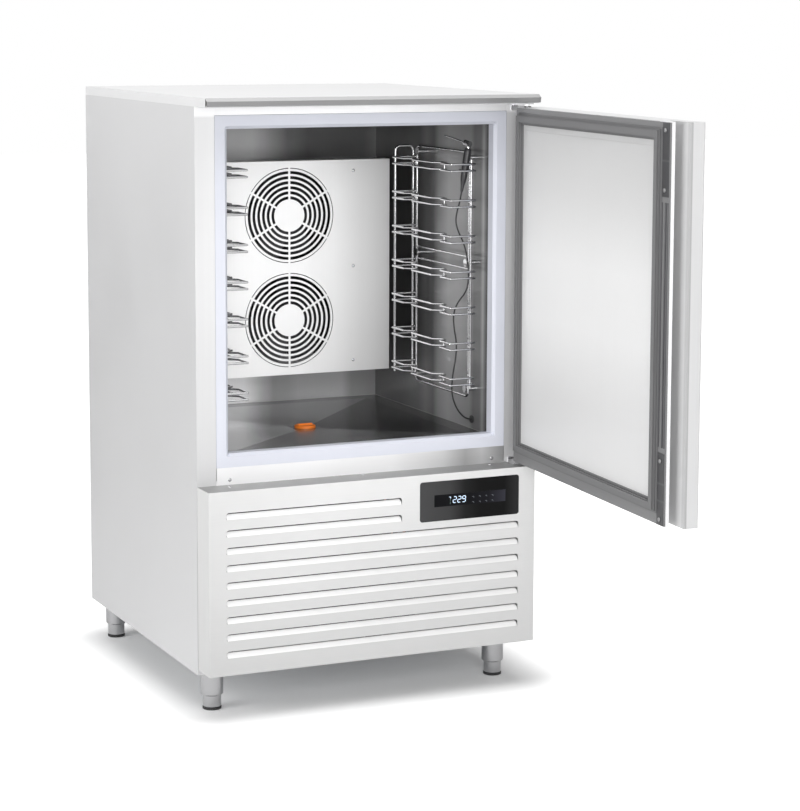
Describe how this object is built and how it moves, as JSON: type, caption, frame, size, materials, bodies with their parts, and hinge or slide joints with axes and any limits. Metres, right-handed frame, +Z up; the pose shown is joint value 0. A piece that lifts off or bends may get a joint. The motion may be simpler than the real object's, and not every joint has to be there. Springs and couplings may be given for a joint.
{
  "type": "blast chiller",
  "caption": "Floor-standing reach-in blast chiller: one door standing open, wire tray racks, fan cover, core probe, louvred front panel with black controls.",
  "frame": {"origin": "middle of the whole piece's box, on the floor, with the door open as pictured", "axes": "+X to the right seen from the front, +Y to the back, +Z up"},
  "size_m": [0.8194, 1.6006, 1.35],
  "materials": {
    "aluminium": "aluminium fins with copper tubes",
    "black_paint": "black paint",
    "black_plastic": "black plastic",
    "black_rubber": "black rubber",
    "copper": "copper tube",
    "flange_plastic": "grey plastic",
    "foam": "rigid yellow foam",
    "frame_plastic": "pale lilac-grey moulded plastic",
    "galvanised": "galvanised sheet",
    "gasket": "soft dark grey magnetic gasket",
    "glass": "glossy black control front",
    "liner_steel": "bright rolled stainless steel",
    "orange": "orange silicone",
    "panel_steel": "fine brushed stainless steel",
    "pipe_plastic": "grey plastic pipe",
    "steel": "satin brushed stainless steel",
    "wire_steel": "polished stainless wire",
    "worktop_steel": "satin brushed stainless steel"
  },
  "bodies": {
    "cabinet": {"left_side_panel": "steel", "right_side_panel": "steel", "back_panel": "galvanised", "base_tray": "galvanised", "worktop": "worktop_steel", "front_fascia": "steel", "sill_rail": "steel", "breaker_frame": "frame_plastic", "chamber_liner": "liner_steel", "drain_floor": "liner_steel", "cabinet_foam": "foam", "drain_pipe": "pipe_plastic", "evaporator_cover": "panel_steel", "fan_frame": "galvanised", "evaporator_coil": "aluminium", "upper_fan_motor": "black_paint", "lower_fan_motor": "black_paint", "left_tray_rack": "wire_steel", "right_tray_rack": "wire_steel", "rack_studs": "wire_steel", "probe_handle": "black_plastic", "probe_needle": "wire_steel", "probe_cable": "black_rubber", "cable_grommet": "black_rubber", "top_hinge": "wire_steel", "bottom_hinge": "wire_steel", "louvre_panel": "panel_steel", "control_housing": "black_plastic", "control_glass": "glass", "compressor": "black_paint", "compressor_mounts": "black_rubber", "condenser_coil": "aluminium", "condenser_shroud": "galvanised", "condenser_motor": "black_paint", "liquid_receiver": "black_paint", "filter_drier": "copper", "refrigerant_pipes": "copper", "electrical_box": "galvanised", "mains_gland": "black_plastic", "foot_sleeves": "steel"},
    "door": {"door_skin": "steel", "door_foam": "foam", "door_frame": "flange_plastic", "door_panel": "panel_steel", "door_gasket": "gasket", "grip_profile": "steel", "grip_plates": "black_plastic", "door_bushes": "black_plastic"},
    "upper_fan": {"upper_fan_rotor": "black_plastic"},
    "lower_fan": {"lower_fan_rotor": "black_plastic"},
    "condenser_fan": {"condenser_rotor": "black_plastic"},
    "plug": {"drain_plug": "orange"},
    "front_left_leg": {"front_left_foot": "steel", "front_left_pad": "black_rubber"},
    "front_right_leg": {"front_right_foot": "steel", "front_right_pad": "black_rubber"},
    "rear_left_leg": {"rear_left_foot": "steel", "rear_left_pad": "black_rubber"},
    "rear_right_leg": {"rear_right_foot": "steel", "rear_right_pad": "black_rubber"}
  },
  "joints": [
    {"name": "door_hinge", "type": "hinge", "parent": "cabinet", "child": "door", "pos_m": [0.36927, -0.02369, 0.9], "axis": [0, 0, 1], "range_deg": [-86, 24]},
    {"name": "upper_fan_spin", "type": "hinge", "parent": "cabinet", "child": "upper_fan", "pos_m": [-0.01473, 0.48731, 1.051], "axis": [0, 1, 0], "continuous": true},
    {"name": "lower_fan_spin", "type": "hinge", "parent": "cabinet", "child": "lower_fan", "pos_m": [-0.01473, 0.48731, 0.801], "axis": [0, 1, 0], "continuous": true},
    {"name": "condenser_fan_spin", "type": "hinge", "parent": "cabinet", "child": "condenser_fan", "pos_m": [-0.15473, 0.13231, 0.301], "axis": [0, 1, 0], "continuous": true},
    {"name": "plug_lift", "type": "slide", "parent": "cabinet", "child": "plug", "axis": [0, 0, 1], "range_m": [0, 0.04]},
    {"name": "front_left_leg_screw", "type": "slide", "parent": "cabinet", "child": "front_left_leg", "axis": [0, 0, -1], "range_m": [0, 0.03]},
    {"name": "front_right_leg_screw", "type": "slide", "parent": "cabinet", "child": "front_right_leg", "axis": [0, 0, -1], "range_m": [0, 0.03]},
    {"name": "rear_left_leg_screw", "type": "slide", "parent": "cabinet", "child": "rear_left_leg", "axis": [0, 0, -1], "range_m": [0, 0.03]},
    {"name": "rear_right_leg_screw", "type": "slide", "parent": "cabinet", "child": "rear_right_leg", "axis": [0, 0, -1], "range_m": [0, 0.03]}
  ]
}
